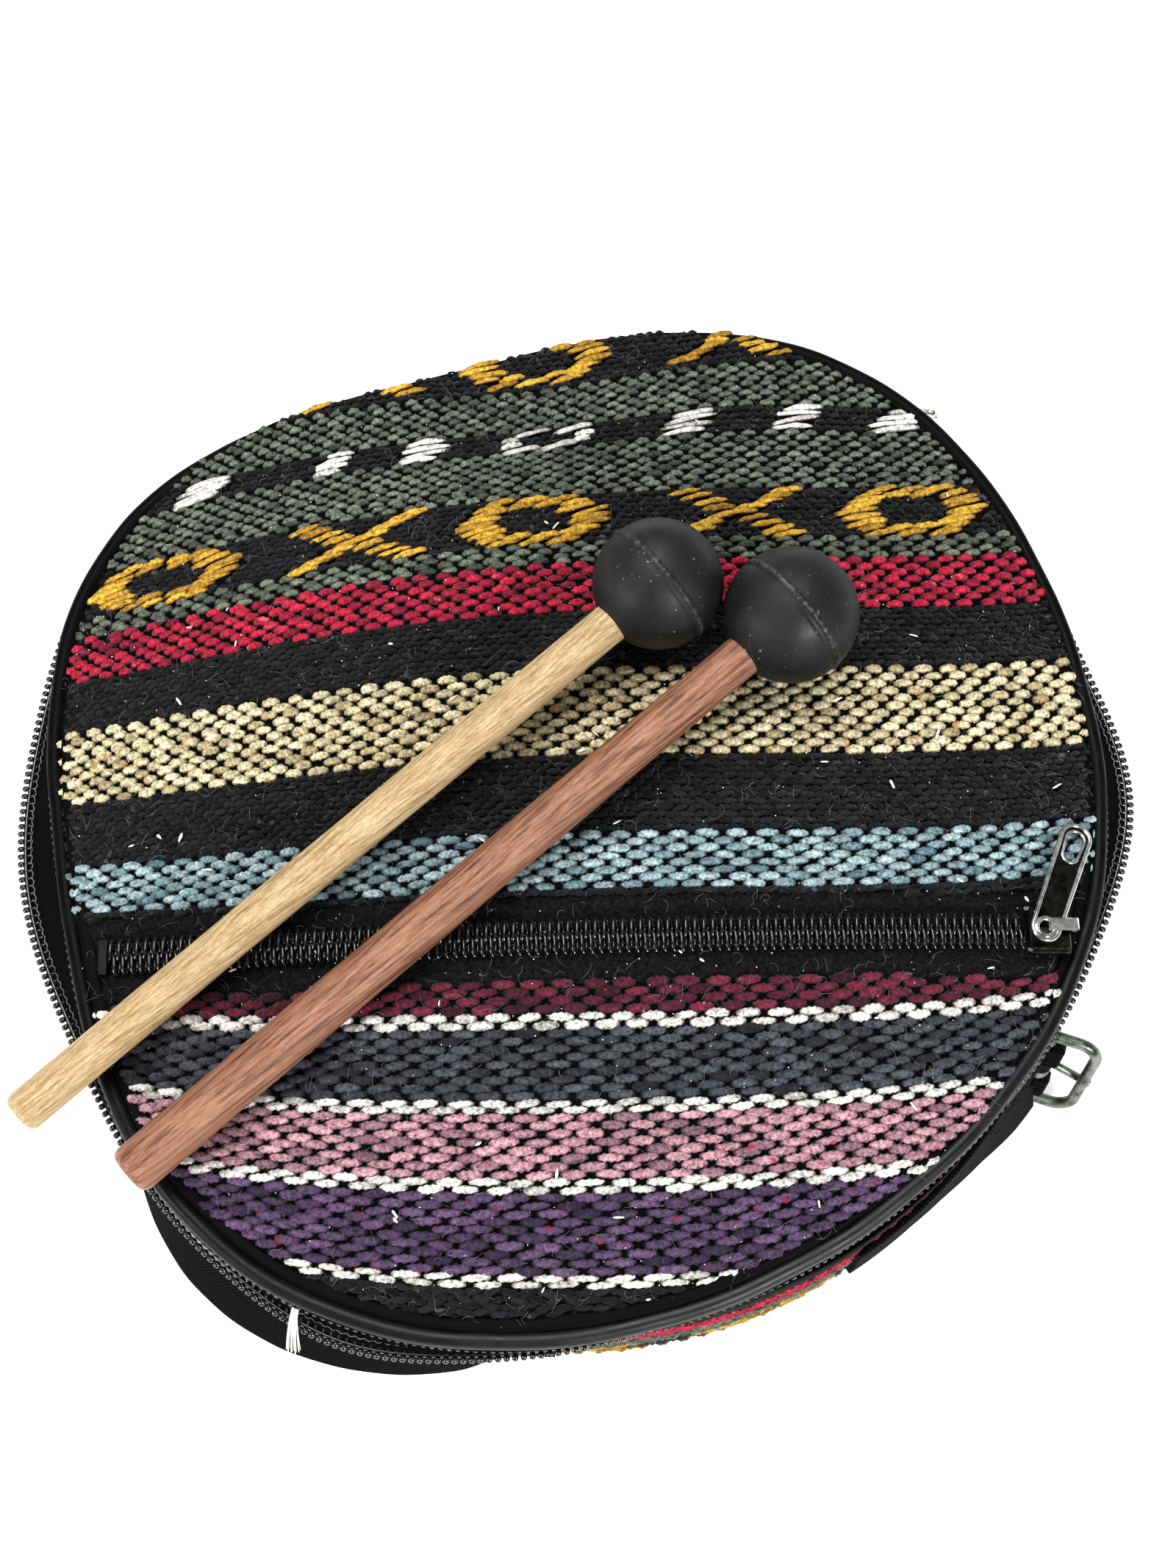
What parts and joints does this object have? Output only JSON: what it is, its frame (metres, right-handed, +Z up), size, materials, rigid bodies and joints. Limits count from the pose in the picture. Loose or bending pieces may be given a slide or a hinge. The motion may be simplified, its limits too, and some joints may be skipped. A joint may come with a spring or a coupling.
{
  "type": "frame drum in soft case with mallets",
  "caption": "Small hand-held frame drum packed in a round soft zip case of coarse striped hand-woven cloth, with rubber-ball mallets lying on the lid and a buckled side strap.",
  "frame": {"origin": "middle of the back panel's underside, on the surface that the case lies on", "axes": "+Z up out of the lid, +Y towards the lid's cloth hinge, +X to the side with the pocket zip's slider and the buckle"},
  "size_m": [0.2034, 0.1979, 0.0794],
  "materials": {
    "stripe_cloth": "hand-woven striped cotton, coarse",
    "stripe_cloth_lower": "hand-woven striped cotton, coarse",
    "foam": "foam wadding",
    "lining": "plain black lining cloth",
    "edge_binding": "glossy black coated binding",
    "piping": "glossy black plastic piping",
    "zip_tape": "knitted black zip tape",
    "zip_teeth": "black nylon coil",
    "zip_metal": "bright plated",
    "webbing": "black herringbone webbing",
    "buckle_wire": "worn nickel plate",
    "rubber": "matt black rubber",
    "bamboo": "pale bamboo",
    "rosewood": "reddish brown hardwood, oiled",
    "hoop_wood": "bent wood, satin",
    "skin": "natural skin",
    "band": "red braid",
    "tack_brass": "domed heads"
  },
  "bodies": {
    "case": {"back_panel": "stripe_cloth", "back_padding": "foam", "back_lining": "lining", "gusset_wall": "stripe_cloth", "gusset_padding": "foam", "gusset_lining": "lining", "back_piping": "piping", "rim_binding": "zip_tape", "body_zip_tape": "zip_tape", "body_zip_coil": "zip_teeth", "hinge_spine": "zip_tape", "strap_tongue": "webbing", "strap_buckle_end": "webbing", "drum_hoop": "hoop_wood", "drum_skin": "skin", "skin_band": "band", "drum_tacks": "tack_brass"},
    "main_slider": {"main_slider": "zip_metal"},
    "main_pull": {"main_pull": "zip_metal"},
    "buckle_frame": {"buckle_frame": "buckle_wire"},
    "buckle_prong": {"buckle_prong": "buckle_wire"},
    "lid": {"lid_lining": "lining", "lid_padding": "foam", "pocket_bag": "lining", "lid_panel_upper": "stripe_cloth", "lid_panel_lower": "stripe_cloth_lower", "lid_binding": "edge_binding", "lid_piping": "piping", "lid_zip_tape": "zip_tape", "lid_zip_coil": "zip_teeth", "pocket_tape_upper": "zip_tape", "pocket_tape_lower": "zip_tape", "pocket_coil_upper": "zip_teeth", "pocket_coil_lower": "zip_teeth", "pocket_end_stop": "zip_metal"},
    "pocket_slider": {"pocket_slider": "zip_metal"},
    "pocket_pull": {"pocket_pull": "zip_metal"},
    "bamboo_mallet": {"bamboo_stick": "bamboo", "bamboo_ball": "rubber"},
    "rosewood_mallet": {"rosewood_stick": "rosewood", "rosewood_ball": "rubber"}
  },
  "joints": [
    {"name": "lid_hinge", "type": "hinge", "parent": "case", "child": "lid", "pos_m": [0, 0.095, 0.0404], "axis": [-1, 0, 0], "range_deg": [0, 120]},
    {"name": "main_zip", "type": "hinge", "parent": "case", "child": "main_slider", "pos_m": [0, 0, 0.037], "axis": [0, 0, -1], "range_deg": [0, 303]},
    {"name": "main_pull_swing", "type": "hinge", "parent": "main_slider", "child": "main_pull", "pos_m": [0.04643, 0.08732, 0.037], "axis": [0.8829, -0.4695, 0], "range_deg": [0, 85]},
    {"name": "buckle_swing", "type": "hinge", "parent": "case", "child": "buckle_frame", "pos_m": [0.0876, -0.0415, 0.013], "axis": [0.1064, 0.2633, 0.9588], "range_deg": [-25, 35]},
    {"name": "prong_swing", "type": "hinge", "parent": "buckle_frame", "child": "buckle_prong", "pos_m": [0.0876, -0.0415, 0.013], "axis": [0.1064, 0.2633, 0.9588], "range_deg": [0, 45]},
    {"name": "pocket_zip", "type": "hinge", "parent": "lid", "child": "pocket_slider", "pos_m": [0.00086, -0.02899, -0.543], "axis": [0.0297, -0.9996, 0], "range_deg": [0, 6.2]},
    {"name": "pocket_pull_swing", "type": "hinge", "parent": "pocket_slider", "child": "pocket_pull", "pos_m": [0.08345, -0.02654, 0.05522], "axis": [0.9902, 0.0294, -0.1368], "range_deg": [0, 150]},
    {"name": "bamboo_lift", "type": "slide", "parent": "lid", "child": "bamboo_mallet", "axis": [0, 0, 1], "range_m": [0, 0.08]},
    {"name": "rosewood_lift", "type": "slide", "parent": "lid", "child": "rosewood_mallet", "axis": [0, 0, 1], "range_m": [0, 0.08]}
  ]
}
